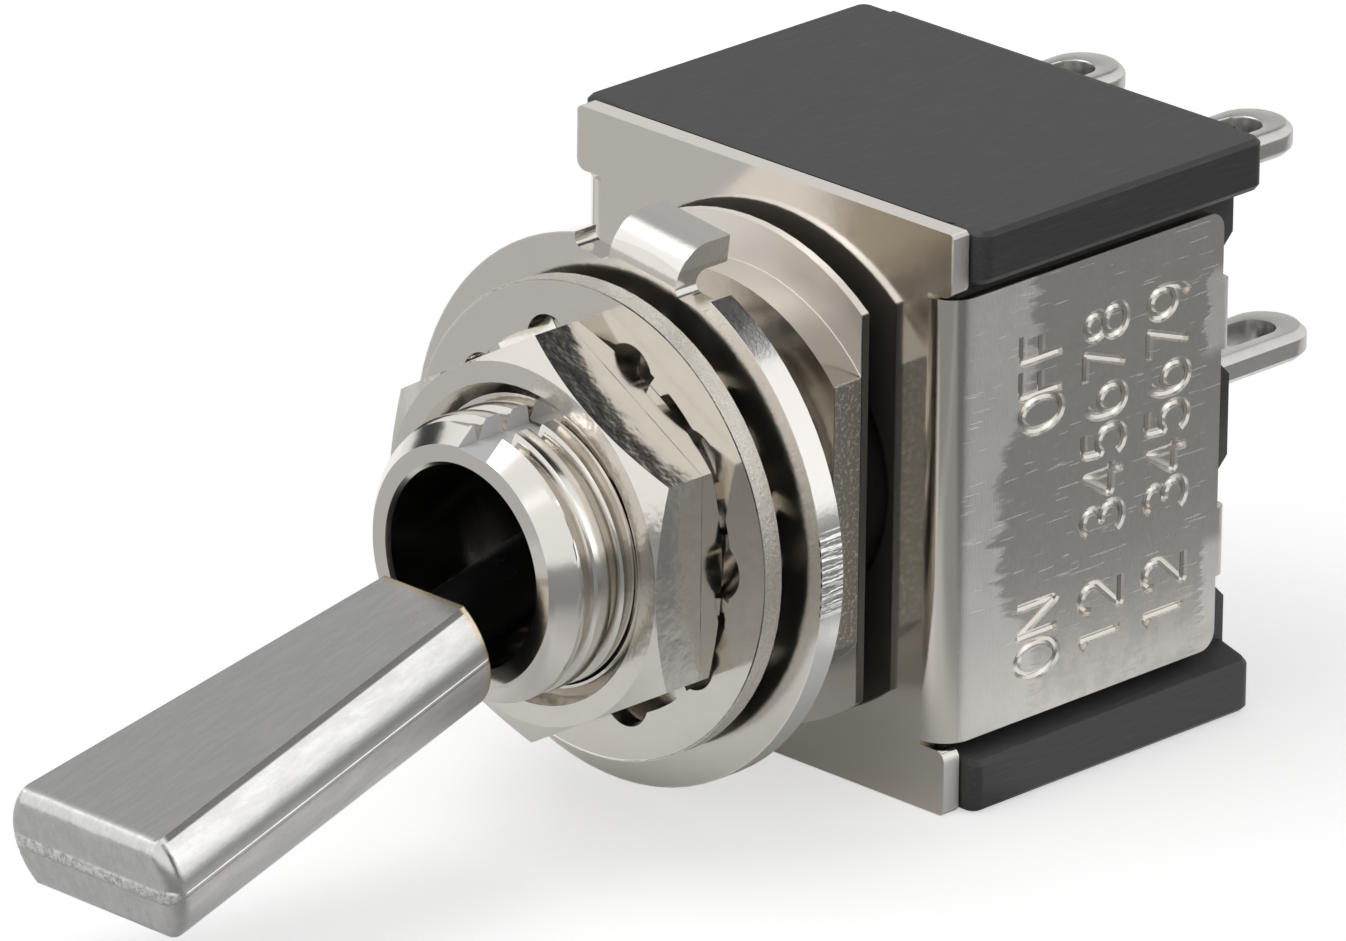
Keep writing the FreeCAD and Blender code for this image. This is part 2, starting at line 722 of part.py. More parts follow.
def make_middle_terminal(side):
    """Common terminal: solder lug, shank, and a saddle with the rocker's fulcrum."""
    outside = rounded_lug(lug_blank(0, lug_tip_middle))
    half = lug_width / 2
    shank = box(-half, half, floor_inside, case_rear, -fulcrum_radius, fulcrum_radius)
    ear_inner = rocker_half_width + saddle_ear_gap
    ear_outer = cavity_half_width - pole_x - saddle_wall_clearance
    saddle = box(-ear_outer, ear_outer, fulcrum_y, floor_inside, -fulcrum_radius, fulcrum_radius)
    crest = Part.makeCylinder(fulcrum_radius, 2 * ear_inner, Vector(-ear_inner, fulcrum_y, 0), X)
    ear = box(ear_inner, ear_outer, rocker_seat - saddle_ear_rise, fulcrum_y, -fulcrum_radius, fulcrum_radius)
    terminal = outside.fuse([shank, saddle, crest, ear, flip_x(ear)]).removeSplitter()
    return move(terminal, side * pole_x)


def unwrapped(shape):
    """The solid itself where a shape holds just one."""
    return shape.Solids[0] if len(shape.Solids) == 1 else shape


def main():
    os.makedirs("parts", exist_ok=True)
    parts = {
        "frame": make_frame(),
        "case": make_case(),
        "bushing": make_bushing(),
        "mounting_nut": make_nut(),
        "lock_washer": make_lock_washer(),
        "locating_ring": make_locating_ring(),
        "lever": make_lever(),
        "pivot_pin": make_pivot_pin(),
        "actuator": make_actuator(),
    }
    for word, side in (("left", -1), ("right", 1)):
        parts["plunger_" + word] = make_plunger(side)
        parts["spring_" + word] = make_spring(side)
        parts["rocker_" + word] = make_rocker(side)
        parts["rocker_contact_" + word] = make_rocker_contact(side)
        parts["terminal_upper_" + word] = make_upper_terminal(side)
        parts["terminal_middle_" + word] = make_middle_terminal(side)
        parts["fixed_contact_" + word] = make_fixed_contact(side)
    for name, shape in parts.items():
        unwrapped(shape).exportStep("parts/%s.step" % name)


main()
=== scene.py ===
import json
import math

import bmesh
import bpy
from mathutils import Matrix, Vector


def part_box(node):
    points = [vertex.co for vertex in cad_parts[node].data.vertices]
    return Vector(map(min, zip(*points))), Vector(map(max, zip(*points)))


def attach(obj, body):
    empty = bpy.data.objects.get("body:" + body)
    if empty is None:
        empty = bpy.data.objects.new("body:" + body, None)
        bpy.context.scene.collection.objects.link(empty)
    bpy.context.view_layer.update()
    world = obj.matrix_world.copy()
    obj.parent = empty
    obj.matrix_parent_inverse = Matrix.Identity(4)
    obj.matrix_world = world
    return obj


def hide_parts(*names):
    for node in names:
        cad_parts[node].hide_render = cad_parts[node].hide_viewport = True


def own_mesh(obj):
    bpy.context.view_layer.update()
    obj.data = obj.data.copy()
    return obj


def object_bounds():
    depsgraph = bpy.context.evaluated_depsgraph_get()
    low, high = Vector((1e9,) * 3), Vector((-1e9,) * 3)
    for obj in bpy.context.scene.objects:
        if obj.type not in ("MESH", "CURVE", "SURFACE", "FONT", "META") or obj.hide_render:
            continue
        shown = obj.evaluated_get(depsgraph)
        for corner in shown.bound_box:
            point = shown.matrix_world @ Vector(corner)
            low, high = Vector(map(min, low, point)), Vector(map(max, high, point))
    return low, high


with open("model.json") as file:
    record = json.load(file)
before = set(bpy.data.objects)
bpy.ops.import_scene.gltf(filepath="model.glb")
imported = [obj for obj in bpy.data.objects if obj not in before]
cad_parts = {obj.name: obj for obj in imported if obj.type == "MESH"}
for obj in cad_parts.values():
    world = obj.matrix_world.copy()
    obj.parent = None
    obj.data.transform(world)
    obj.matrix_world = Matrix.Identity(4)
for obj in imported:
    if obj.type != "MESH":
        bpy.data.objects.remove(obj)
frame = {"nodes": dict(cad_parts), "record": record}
cad_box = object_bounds()

# Studio: the switch lies on its case on a white table, seen from its front right and above.
# A long lens stands 320 mm away, as the small difference between near and far edges shows.
MM = 0.001
camera_azimuth = math.radians(44.497)
camera_height = math.radians(21.305)
camera_roll = math.radians(0.681)
camera_distance = 320.465 * MM
camera_target = Vector((-2.492, 0.0, -0.954)) * MM
sensor_width = 36.0
focal_length = 413.82

towards_camera = Vector((
    math.sin(camera_azimuth) * math.cos(camera_height),
    -math.cos(camera_azimuth) * math.cos(camera_height),
    math.sin(camera_height),
))
level_right = Vector((0, 0, 1)).cross(towards_camera).normalized()
level_up = towards_camera.cross(level_right)
camera_right = math.cos(camera_roll) * level_right + math.sin(camera_roll) * level_up
camera_up = towards_camera.cross(camera_right)
lens = bpy.data.cameras.new("camera")
lens.sensor_width = sensor_width
lens.lens = focal_length
lens.clip_start = 0.01
camera = bpy.data.objects.new("camera", lens)
camera.matrix_world = (
    Matrix.Translation(camera_target + camera_distance * towards_camera)
    @ Matrix((camera_right, camera_up, towards_camera)).transposed().to_4x4()
)
bpy.context.scene.collection.objects.link(camera)
bpy.context.scene.camera = camera
bpy.context.scene.view_settings.view_transform = "Standard"


def keep(name, mesh):
    """Link a mesh to the scene as an object of its own, at the origin."""
    piece = bpy.data.objects.new(name, mesh)
    bpy.context.scene.collection.objects.link(piece)
    return piece


class Wire:
    """A node's socket that can be added, multiplied and compared as a number is."""

    def __init__(self, tree, socket):
        self.tree = tree
        self.socket = socket

    def node(self, kind, settings=(), values=(), output=0):
        """Any other node: its settings first, then the values or wires of its sockets."""
        made = self.tree.nodes.new(kind)
        for name, value in dict(settings).items():
            setattr(made, name, value)
        for name, value in dict(values).items():
            if isinstance(value, Wire):
                self.tree.links.new(value.socket, made.inputs[name])
            else:
                made.inputs[name].default_value = value
        return Wire(self.tree, made.outputs[output])

    def maths(self, operation, *others):
        return self.node("ShaderNodeMath", {"operation": operation}, enumerate((self, *others)))

    def __add__(self, other):
        return self.maths("ADD", other)

    def __sub__(self, other):
        return self.maths("SUBTRACT", other)

    def __rsub__(self, other):
        return self.node("ShaderNodeMath", {"operation": "SUBTRACT"}, {0: other, 1: self})

    def __mul__(self, other):
        return self.maths("MULTIPLY", other)

    def __truediv__(self, other):
        return self.maths("DIVIDE", other)

    def __pow__(self, other):
        return self.maths("POWER", other)

    def __abs__(self):
        return self.maths("ABSOLUTE")

    def __gt__(self, other):
        return self.maths("GREATER_THAN", other)

    def __lt__(self, other):
        return self.maths("LESS_THAN", other)

    __radd__ = __add__
    __rmul__ = __mul__

    def rise(self, start, end):
        """0 before start, 1 after end, with a soft step between them."""
        return self.node("ShaderNodeMapRange", {"interpolation_type": "SMOOTHSTEP"},
                         {"Value": self, "From Min": start, "From Max": end})

    def noise(self, scale, detail=3.0, roughness=0.5, stretch=(1, 1, 1), seed=0.0):
        """Cloudy noise over a place in millimetres, 0 to 1, about 0.5."""
        place = self.node("ShaderNodeVectorMath", {"operation": "MULTIPLY"}, {0: self, 1: stretch})
        place = place.node("ShaderNodeVectorMath", {"operation": "ADD"}, {0: place, 1: (seed, seed, seed)})
        return place.node("ShaderNodeTexNoise", {}, {
            "Vector": place, "Scale": scale, "Detail": detail, "Roughness": roughness})

    def blend(self, first, second):
        """The first colour where this is 0 and the second where it is 1."""
        return self.node("ShaderNodeMix", {"data_type": "RGBA"}, {0: self, 6: first, 7: second}, output=2)


def axes(place):
    """The three numbers of a place."""
    parts = place.node("ShaderNodeSeparateXYZ", {}, {0: place}).socket.node
    return [Wire(place.tree, parts.outputs[i]) for i in range(3)]


def rays(tree):
    """Wires that are 1 for what the camera, a mirroring face or a clear piece sees, and 0 otherwise."""
    kinds = ("Is Camera Ray", "Is Glossy Ray", "Is Transmission Ray")
    path = tree.nodes.new("ShaderNodeLightPath")
    return [Wire(tree, path.outputs[kind]) for kind in kinds]


table_gap = 0.02 * MM
table_height = cad_box[0][2] - table_gap
table_reach = 0.6
table_tone = 0.8
glow_to_camera = 0.55
glow_to_metal = 0.05
table_mesh = bpy.data.meshes.new("table")
table_mesh.from_pydata(
    [(-table_reach, -table_reach, table_height), (table_reach, -table_reach, table_height),
     (table_reach, table_reach, table_height), (-table_reach, table_reach, table_height)],
    [], [(0, 1, 2, 3)])
table = keep("table", table_mesh)
table_white = bpy.data.materials.new("table_white")
table_white.use_nodes = True
tree = table_white.node_tree
paint = tree.nodes["Principled BSDF"]
paint.inputs["Base Color"].default_value = (table_tone, table_tone, table_tone, 1)
paint.inputs["Roughness"].default_value = 0.9
from_camera, from_metal, through_clear = rays(tree)
spot = Wire(tree, tree.nodes.new("ShaderNodeTexCoord").outputs["Object"])
spot_x, spot_y = axes(spot)[:2]

# Painted shade and painted light on the table that only the metal's reflections see, in metres from the
# bushing's axis:
# three painted shadows behind, on the right and in front, and two painted glows by the case and the bushing.
painted_shade_behind = ((spot_x + spot_y) * 0.7).rise(0.010, 0.016) * 0.62
painted_shade_right = spot_x.rise(0.009, 0.015) * (1 - spot_y.rise(0.006, 0.012)) * spot_y.rise(-0.018, -0.013) * 0.5
painted_shade_before = spot_x.rise(0.000, 0.006) * (1 - spot_y.rise(-0.019, -0.014)) * 0.55
painted_glow_beside = (1 - spot_x.rise(0.008, 0.012)) * spot_y.rise(0.001, 0.003) * 0.55
painted_glow_before = (1 - spot_y.rise(-0.008, -0.004)) * spot_y.rise(-0.019, -0.014)
painted_glow_before = painted_glow_before * (1 - spot_x.rise(0.003, 0.009)) * 0.18
tone = table_tone * (1 - from_metal * painted_shade_behind) * (1 - from_metal * painted_shade_right)
tone = tone * (1 - from_metal * painted_shade_before)
glow = from_camera.maths("MAXIMUM", through_clear) * glow_to_camera
glow = glow + from_metal * (glow_to_metal + painted_glow_beside + painted_glow_before)
tree.links.new(tone.socket, paint.inputs["Base Color"])
paint.inputs["Emission Strength"].default_value = 1.0
tree.links.new(glow.socket, paint.inputs["Emission Color"])
table_mesh.materials.append(table_white)

room = bpy.data.worlds.new("room")
room.use_nodes = True
bpy.context.scene.world = room
tree = room.node_tree
sky = tree.nodes["Background"]
from_camera, from_metal, through_clear = rays(tree)
white = from_camera.maths("MAXIMUM", from_metal).maths("MAXIMUM", through_clear)
room_light = 0.35
tree.links.new((white * (1.0 - room_light) + room_light).socket, sky.inputs["Strength"])
sky.inputs["Color"].default_value = (1, 1, 1, 1)


def aimed(azimuth, height, distance):
    """A place that looks back at the switch, by compass angle and height in degrees."""
    a = math.radians(azimuth)
    h = math.radians(height)
    place = Vector((math.sin(a) * math.cos(h), -math.cos(a) * math.cos(h), math.sin(h))) * distance
    return Matrix.Translation(place) @ place.to_track_quat("Z", "Y").to_matrix().to_4x4()


def softbox(name, azimuth, height, distance, width, length, power):
    """A rectangular lamp that looks at the switch, of a power in watts."""
    lamp = bpy.data.lights.new(name, "AREA")
    lamp.shape = "RECTANGLE"
    lamp.size = width
    lamp.size_y = length
    lamp.energy = power
    stand = bpy.data.objects.new(name, lamp)
    stand.matrix_world = aimed(azimuth, height, distance)
    bpy.context.scene.collection.objects.link(stand)


softbox("key", -42, 66, 0.5, 0.32, 0.32, 0.66)
softbox("side", 122, 26, 0.5, 0.10, 0.40, 0.10)
softbox("front", 15, 30, 0.6, 0.20, 0.20, 0.06)


def grey_card(name, azimuth, height, distance, width, length, tone):
    """A card that only the metal's reflections see, of a plain tone from black to white."""
    turn = aimed(azimuth, height, distance)
    corners = [(-width, -length, 0), (width, -length, 0), (width, length, 0), (-width, length, 0)]
    mesh = bpy.data.meshes.new(name)
    mesh.from_pydata([turn @ (Vector(corner) / 2) for corner in corners], [], [(0, 1, 2, 3)])
    card_paint = bpy.data.materials.new(name)
    card_paint.use_nodes = True
    matte = card_paint.node_tree.nodes["Principled BSDF"]
    matte.inputs["Base Color"].default_value = (0, 0, 0, 1)
    matte.inputs["Specular IOR Level"].default_value = 0.0
    matte.inputs["Emission Color"].default_value = (1, 1, 1, 1)
    matte.inputs["Emission Strength"].default_value = tone
    mesh.materials.append(card_paint)
    card = keep(name, mesh)
    card.visible_camera = False
    card.visible_diffuse = False
    card.visible_shadow = False
    card.visible_transmission = False


# The lever's and lugs' tops mirror card_behind, the case's top and the lugs' edges card_low,
# the nut's upper flat and the lever's edge card_over, and rounded edges the other dark ones.
grey_card("card_behind", -132, 43, 0.45, 0.68, 0.31, 0.42)
grey_card("card_low", -136, 13, 0.47, 0.60, 0.18, 0.78)
grey_card("card_over", 180, 60, 0.45, 0.30, 0.22, 0.02)
grey_card("card_left", -80, 14, 0.48, 0.22, 0.20, 0.02)
grey_card("card_right", 90, 22, 0.44, 0.16, 0.36, 0.02)
grey_card("card_top", 40, 74, 0.45, 0.30, 0.16, 0.05)


# Sheet frame: one strip of steel, blanked, folded round the case and nickel plated.
# The front plate is bright, the side walls are brushed and scuffed by tumbling and by the punch.
# ON, OFF and two rows of plain numbers are stamped in one wall with a round-nosed punch.
def finish(name, colour, metallic, roughness):
    """A new material, its shader, and a wire that holds the place on the piece in millimetres."""
    material = bpy.data.materials.new(name)
    material.use_nodes = True
    tree = material.node_tree
    shader = tree.nodes["Principled BSDF"]
    shader.inputs["Base Color"].default_value = (*colour, 1)
    shader.inputs["Metallic"].default_value = metallic
    shader.inputs["Roughness"].default_value = roughness
    place = Wire(tree, tree.nodes.new("ShaderNodeTexCoord").outputs["Object"])
    place = place.node("ShaderNodeVectorMath", {"operation": "SCALE"}, {0: place, "Scale": 1 / MM})
    return material, shader, place


def feed(shader, name, wire):
    """Lead a wire to one of the shader's sockets."""
    shader.id_data.links.new(wire.socket, shader.inputs[name])


def emboss(shader, height, depth):
    """Bump from a height of 0 to 1 that stands a depth in millimetres."""
    bump = height.node("ShaderNodeBump", {}, {"Height": height, "Distance": depth * MM, "Strength": 1.0})
    feed(shader, "Normal", bump)


wall_inner = 5.30
wall_outer = 5.385
tabs_front = 7.55
tabs_middle = -0.3
tab_offset = 3.0


def nickel_sheet():
    material, shader, place = finish("nickel_sheet", (0.76, 0.72, 0.66), 1.0, 0.16)
    x, y, z = axes(place)
    wall = abs(x).rise(wall_inner, wall_outer)
    cloud = place.noise(0.7, 4.0, 0.6)
    fine = place.noise(7.0, 4.0, 0.65, seed=3.0)
    wave = place.noise(0.45, 1.0, 0.4, seed=31.0)
    brushed = place.noise(8.0, 3.0, 0.55, stretch=(1.0, 5.0, 0.4), seed=7.0)
    blotch = place.noise(1.1, 6.0, 0.72, seed=11.0).rise(0.42, 0.62)
    ragged = place.noise(1.5, 4.0, 0.62, stretch=(1.0, 0.45, 2.4), seed=17.0)
    tab_distance = abs(abs(z - tabs_middle) - tab_offset)
    by_tabs = (y + ragged * 1.2 - 0.6).rise(tabs_front, tabs_front + 0.15) * (1 - tab_distance.rise(0.7, 1.1))
    bend_reach = 1.5 + 1.0 * z.rise(1.0, 2.6) + 1.1 * (1 - z.rise(-3.4, -1.6))
    near_bend = 1 - (y - bend_reach + (ragged - 0.5) * 1.9).rise(-0.2, 0.2)
    scuff = wall * near_bend.maths("MAXIMUM", by_tabs)
    scratch = place.noise(3.0, 2.0, 0.5, stretch=(1.0, 0.25, 7.0), seed=23.0).rise(0.66, 0.72)
    dull = wall * (0.11 + 0.14 * brushed + 0.06 * blotch + 0.08 * scratch) + 0.16 * scuff
    feed(shader, "Roughness", 0.07 + dull + 0.05 * fine + 0.04 * cloud)
    skin = (wall * (0.6 + 0.4 * blotch)).blend((0.78, 0.74, 0.68, 1), (0.60, 0.58, 0.55, 1))
    feed(shader, "Base Color", (scuff * 0.8).blend(skin, (0.86, 0.84, 0.80, 1)))
    grain = brushed * 0.4 + blotch * 0.25 + scratch * 0.4 + scuff * (0.15 + brushed)
    emboss(shader, wave * 0.9 * (1 - wall) + fine * 0.10 + wall * grain, 0.009)
    return material


weld_distance = 0.0005 * MM


def merged_copy(node):
    """A welded copy of a CAD node's mesh."""
    shape = bmesh.new()
    shape.from_mesh(frame["nodes"][node].data)
    bmesh.ops.remove_doubles(shape, verts=shape.verts, dist=weld_distance)
    mesh = bpy.data.meshes.new(node + "_copy")
    shape.to_mesh(mesh)
    shape.free()
    mesh.materials.clear()
    if "custom_normal" in mesh.attributes:
        mesh.attributes.remove(mesh.attributes["custom_normal"])
    return mesh


def bake(piece):
    """Apply the piece's modifiers to its mesh, and leave none on it."""
    graph = bpy.context.evaluated_depsgraph_get()
    mesh = bpy.data.meshes.new_from_object(piece.evaluated_get(graph))
    piece.modifiers.clear()
    piece.data = mesh


def cut(piece, tools, operation="DIFFERENCE"):
    """Cut a piece with closed tools, which are then put away."""
    for tool in tools:
        cutter = piece.modifiers.new("cut", "BOOLEAN")
        cutter.operation = operation
        cutter.solver = "EXACT"
        cutter.use_self = True
        cutter.object = tool
    bake(piece)
    for tool in tools:
        bpy.data.objects.remove(tool)


def shade(piece, sharp_over):
    """Smooth faces, sharp where they turn by more than an angle, with broad faces kept flat."""
    piece.data.polygons.foreach_set("use_smooth", [True] * len(piece.data.polygons))
    piece.data.set_sharp_from_angle(angle=math.radians(sharp_over))
    weigh = piece.modifiers.new("weigh", "WEIGHTED_NORMAL")
    weigh.keep_sharp = True
    weigh.weight = 100
    bake(piece)


letter_height = 1.2
letter_width = 0.72
letter_step = 0.86
row_foot = -3.96
punch_radius = 0.13
punch_lift = 0.05


def arc(centre, radius, start, end, steps=10):
    """Points along an ellipse's arc, in shares of a letter's width and height."""
    angles = [math.radians(start + (end - start) * i / steps) for i in range(steps + 1)]
    return [(centre[0] + radius[0] * math.cos(a), centre[1] + radius[1] * math.sin(a)) for a in angles]


strokes = {
    "O": [arc((0.5, 0.5), (0.5, 0.5), 0, 360, 28)],
    "N": [[(0.05, 0), (0.05, 1), (0.95, 0), (0.95, 1)]],
    "F": [[(0.85, 1), (0.05, 1), (0.05, 0)], [(0.05, 0.53), (0.72, 0.53)]],
    "1": [[(0.25, 0.82), (0.5, 1), (0.5, 0)]],
    "2": [arc((0.5, 0.70), (0.42, 0.30), 170, -35) + [(0.05, 0), (0.95, 0)]],
    "3": [arc((0.45, 0.76), (0.40, 0.24), 150, -90) + arc((0.45, 0.27), (0.45, 0.27), 90, -150)],
    "4": [[(0.70, 0), (0.70, 1), (0.02, 0.30), (0.98, 0.30)]],
    "5": [[(0.85, 1), (0.20, 1), (0.12, 0.55)] + arc((0.45, 0.33), (0.45, 0.33), 120, -150)],
    "6": [arc((0.62, 0.45), (0.55, 0.55), 110, 180) + arc((0.5, 0.32), (0.43, 0.32), 180, 540, 20)],
    "7": [[(0.05, 1), (0.92, 1), (0.35, 0)]],
    "8": [arc((0.5, 0.76), (0.36, 0.24), 0, 360, 20), arc((0.5, 0.27), (0.44, 0.27), 0, 360, 20)],
    "9": [arc((0.38, 0.55), (0.55, 0.55), -70, 0) + arc((0.5, 0.68), (0.43, 0.32), 0, 360, 20)],
}


same_place = 0.001
smooth_turn = math.radians(35)


def rounded(line, radius=0.12):
    """The same line with each sharp corner turned in five steps, from a radius before it."""
    points = [Vector(point) for point in line]
    closed = (points[0] - points[-1]).length < same_place
    smooth = [] if closed else [points[0]]
    inner = range(len(points) - 1) if closed else range(1, len(points) - 1)
    for i in inner:
        here = points[i]
        before = points[i - 1] if i else points[-2]
        into = before - here
        out = points[i + 1] - here
        if into.angle(-out) < smooth_turn:
            smooth.append(here)
            continue
        start = here + into.normalized() * min(radius, into.length / 2)
        end = here + out.normalized() * min(radius, out.length / 2)
        for step in range(6):
            t = step / 5
            smooth.append(start.lerp(here, t).lerp(here.lerp(end, t), t))
    return smooth if closed else smooth + [points[-1]]


def punch(rows):
    """Round-nosed tools along texts that read up the wall, each text with its start, base and step."""
    wall_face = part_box("frame")[1][0]
    curve = bpy.data.curves.new("punch", "CURVE")
    curve.dimensions = "3D"
    curve.bevel_depth = punch_radius * MM
    curve.bevel_resolution = 3
    curve.use_fill_caps = True
    letters = [(letter, start + index * step, base) for words, start, base, step in rows
               for index, letter in enumerate(words) if letter != " "]
    for letter, start, base in letters:
        for line in strokes[letter]:
            points = rounded(line)
            spline = curve.splines.new("POLY")
            spline.points.add(len(points) - 1)
            spline.use_cyclic_u = math.dist(line[0], line[-1]) < same_place
            for point, (across, up) in zip(spline.points, points):
                z = start + across * letter_width
                y = base - up * letter_height
                point.co = (wall_face + punch_lift * MM, y * MM, z * MM, 1)
    mould = bpy.data.objects.new("punch", curve)
    bpy.context.scene.collection.objects.link(mould)
    graph = bpy.context.evaluated_depsgraph_get()
    mesh = bpy.data.meshes.new_from_object(mould.evaluated_get(graph))
    bpy.data.objects.remove(mould)
    return keep("punch", mesh)


sheet = keep("sheet_frame", merged_copy("frame"))
cut(sheet, [punch([
    ("ON", row_foot, 3.3, 0.9),
    ("OFF", 1.45, 3.3, 0.78),
    ("12 345678", row_foot, 5.2, letter_step),
    ("12 345679", row_foot, 7.1, letter_step),
])])
sheet.data.materials.append(nickel_sheet())
shade(sheet, 28)
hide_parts("frame")
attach(sheet, "base")


# Case: black thermoset moulding with two flanges over and under the side walls.
# It is matte, with faint drag lines along its length, rubbed pale in places, and has round edges.
def black_moulding():
    material, shader, place = finish("black_moulding", (0.030, 0.030, 0.032), 0.0, 0.45)
    x, y, z = axes(place)
    drag = place.noise(3.0, 4.0, 0.6, stretch=(6.0, 0.25, 6.0), seed=2.0)
    grain = place.noise(22.0, 3.0, 0.6, seed=5.0)
    worn = place.noise(9.0, 3.0, 0.6, stretch=(2.5, 0.12, 2.5), seed=14.0).rise(0.52, 0.70)
    skin = drag.blend((0.034, 0.034, 0.036, 1), (0.064, 0.062, 0.060, 1))
    feed(shader, "Base Color", (worn * 0.5).blend(skin, (0.095, 0.092, 0.088, 1)))
    feed(shader, "Roughness", 0.36 + 0.14 * drag + 0.08 * grain)
    emboss(shader, drag * 0.6 + grain * 0.4, 0.006)
    return material


def coined(node, width, material, body):
    """Put a copy of a CAD node with its sharp edges rounded in the node's place."""
    piece = keep(node + "_coined", merged_copy(node))
    piece.data.materials.append(material)
    rounding = piece.modifiers.new("rounding", "BEVEL")
    rounding.width = width * MM
    rounding.segments = 3
    rounding.limit_method = "ANGLE"
    rounding.angle_limit = math.radians(30)
    rounding.use_clamp_overlap = True
    bake(piece)
    shade(piece, 50)
    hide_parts(node)
    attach(piece, body)


coined("case", 0.13, black_moulding(), "base")


# Bushing: die cast in zinc with its shoulder and spigot, then threaded, keywayed and nickel plated.
# The thread is M6 x 0.75, with broad crests worn smooth by plating and narrow dark roots.
# The cast shoulder keeps a speckled skin on its flats, where no tool has run.
thread_pitch = 0.75
thread_root = 2.56
thread_crown = 0.04
thread_crest_share = 0.52
bushing_mouth = -8.63
shoulder_front = -1.4
bore_radius = 2.105
crest_radius = 3.0
mouth_chamfer = 0.45
keyway_width = 0.82
keyway_floor = 2.5
keyway_angle = 7.0
collar_front = -0.6
gap_front = -0.4
flat_side = 3.42
pin_slot_reach = 2.36
pin_slot_front = -4.15
pin_slot_half_height = 0.45


def threaded_sleeve(name, sizes, columns=150, rows_a_pitch=16):
    """A closed sleeve with a screw thread on one wall, made by a node tree with named sizes."""
    rows = rows_a_pitch * math.ceil((sizes["Rear"] - sizes["Mouth"]) / sizes["Pitch"] + 1) + 1
    closing_rows = 4
    tree = bpy.data.node_groups.new(name, "GeometryNodeTree")
    for label in sizes:
        tree.interface.new_socket(label, in_out="INPUT", socket_type="NodeSocketFloat")
    tree.interface.new_socket("Material", in_out="INPUT", socket_type="NodeSocketMaterial")
    tree.interface.new_socket("Geometry", in_out="OUTPUT", socket_type="NodeSocketGeometry")
    entry = tree.nodes.new("NodeGroupInput")
    size = {label: Wire(tree, entry.outputs[label]) for label in [*sizes, "Material"]}
    grid = size["Pitch"].node("GeometryNodeMeshGrid", {}, {
        "Size X": 1.0, "Size Y": 1.0, "Vertices X": columns + 1, "Vertices Y": rows + closing_rows})
    at = Wire(tree, tree.nodes.new("GeometryNodeInputPosition").outputs[0])
    across, up, _ = axes(at)
    turn = across + 0.5
    row = (up + 0.5) * (rows + closing_rows - 1)
    row = row * (row < rows + closing_rows - 1.5)
    plain = row > rows - 0.5
    lip_start = row > rows + 0.5
    lip_end = row > rows + 1.5
    helix_y = size["Mouth"] + size["Pitch"] * (row / rows_a_pitch - turn)
    helix_y = helix_y.maths("MAXIMUM", size["Mouth"]).maths("MINIMUM", size["Rear"])
    lip_y = size["Mouth"] + size["Lip"] * (1 - lip_end)
    plain_y = size["Rear"] * (1 - lip_start) + lip_y * lip_start
    y = helix_y * (1 - plain) + plain_y * plain
    phase = (y - size["Mouth"]) / size["Pitch"] + turn
    crest_offset = abs(phase.maths("FRACT") - 0.5) * 2
    groove = crest_offset.rise(size["Crest Share"], 1.0)
    fade_out = 1 - y.rise(size["Rear"] - size["Runout"], size["Rear"])
    crown = crest_offset * crest_offset * size["Crown"]
    wall = size["Crest Radius"] - (groove * size["Depth"] + crown) * fade_out
    limit = size["Crest Radius"] - size["Mouth Chamfer"] + (y - size["Mouth"])
    has_chamfer = size["Mouth Chamfer"] > 0.0
    wall = wall * (1 - has_chamfer) + wall.maths("MINIMUM", limit) * has_chamfer
    radius = wall * (1 - plain) + plain * (size["Plain Radius"] + size["Lip"] * lip_end)
    angle = turn * math.tau
    point = angle.node("ShaderNodeCombineXYZ", {}, {
        0: radius * angle.maths("COSINE") * MM, 1: y * MM, 2: radius * angle.maths("SINE") * MM})
    placed = grid.node("GeometryNodeSetPosition", {}, {"Geometry": grid, "Position": point})
    welded = placed.node("GeometryNodeMergeByDistance", {}, {"Geometry": placed, "Distance": 0.0008 * MM})
    real = welded.node("GeometryNodeRealizeInstances", {}, {"Geometry": welded})
    skinned = real.node("GeometryNodeSetMaterial", {}, {"Geometry": real, "Material": size["Material"]})
    leave = tree.nodes.new("NodeGroupOutput")
    tree.links.new(skinned.socket, leave.inputs["Geometry"])
    return tree


def grown(name, tree, sizes, material):
    """Run a node tree with its sizes set, and keep the result as a plain mesh."""
    piece = keep(name, bpy.data.meshes.new(name))
    grower = piece.modifiers.new("grower", "NODES")
    grower.node_group = tree
    for item in tree.interface.items_tree:
        if item.in_out == "INPUT":
            grower[item.identifier] = material if item.name == "Material" else sizes[item.name]
    bake(piece)
    shape = bmesh.new()
    shape.from_mesh(piece.data)
    bmesh.ops.recalc_face_normals(shape, faces=shape.faces)
    shape.to_mesh(piece.data)
    shape.free()
    return piece


def block(name, low, high, turned=0.0):
    """A plain cutting block between two corners in millimetres, turned about the bushing's axis."""
    shape = bmesh.new()
    bmesh.ops.create_cube(shape, size=1.0)
    middle = (Vector(low) + Vector(high)) / 2 * MM
    extent = (Vector(high) - Vector(low)) * MM
    shape.transform(Matrix.Translation(middle) @ Matrix.Diagonal((*extent, 1)))
    shape.transform(Matrix.Rotation(math.radians(turned), 4, "Y"))
    mesh = bpy.data.meshes.new(name)
    shape.to_mesh(mesh)
    shape.free()
    return keep(name, mesh)


